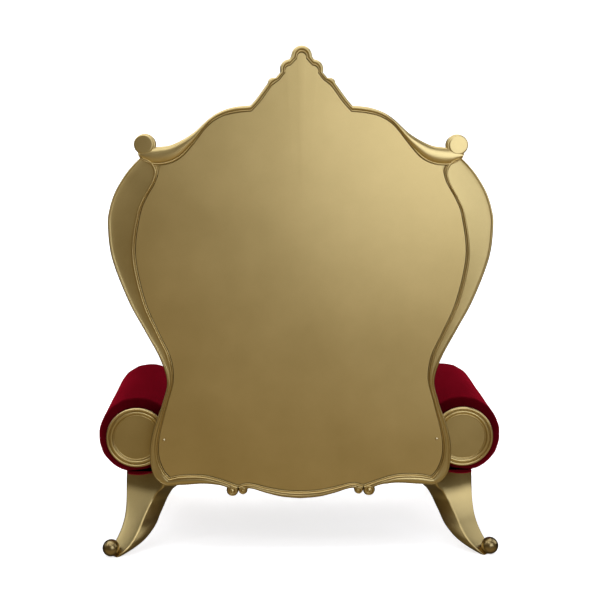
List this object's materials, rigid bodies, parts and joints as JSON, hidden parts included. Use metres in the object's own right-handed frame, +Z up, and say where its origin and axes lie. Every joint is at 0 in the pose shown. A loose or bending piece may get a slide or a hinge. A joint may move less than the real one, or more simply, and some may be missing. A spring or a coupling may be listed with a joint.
{
  "type": "throne",
  "caption": "Tall throne chair: gold-painted cartouche back with crest, volutes and smooth rear panel, rolled velvet arms, velvet seat, sabre legs with ball toes.",
  "frame": {"origin": "centre of the overall box in plan, on the surface that the throne stands on", "axes": "+Z up; the sitter faces -Y; +X is the sitter's left"},
  "size_m": [1.4464, 1.0292, 1.6554],
  "materials": {
    "gold_paint": "satin gold paint over carved wood and resin",
    "gold_panel": "satin gold paint on a smooth board",
    "gold_ball": "polished darker gold",
    "screw_cap": "bright pale gold",
    "red_velvet": "deep red velvet",
    "deck_board": "dark dust cloth over board"
  },
  "bodies": {
    "root": {"back_frame": "gold_paint", "back_panel": "gold_panel", "panel_screw_left": "screw_cap", "panel_screw_right": "screw_cap", "back_cushion": "red_velvet", "arm_roll_left": "red_velvet", "arm_roll_right": "red_velvet", "arm_base_left": "red_velvet", "arm_base_right": "red_velvet", "arm_disc_back_left": "gold_paint", "arm_disc_back_right": "gold_paint", "arm_disc_front_left": "gold_paint", "arm_disc_front_right": "gold_paint", "rail_left": "gold_paint", "rail_right": "gold_paint", "rail_back": "gold_paint", "rail_front": "gold_paint", "seat_deck": "deck_board", "seat_cushion": "red_velvet", "leg_back_left": "gold_paint", "leg_back_right": "gold_paint", "leg_front_left": "gold_paint", "leg_front_right": "gold_paint", "toe_ball_back_left": "gold_ball", "toe_ball_back_right": "gold_ball", "toe_ball_front_left": "gold_ball", "toe_ball_front_right": "gold_ball"}
  },
  "joints": []
}
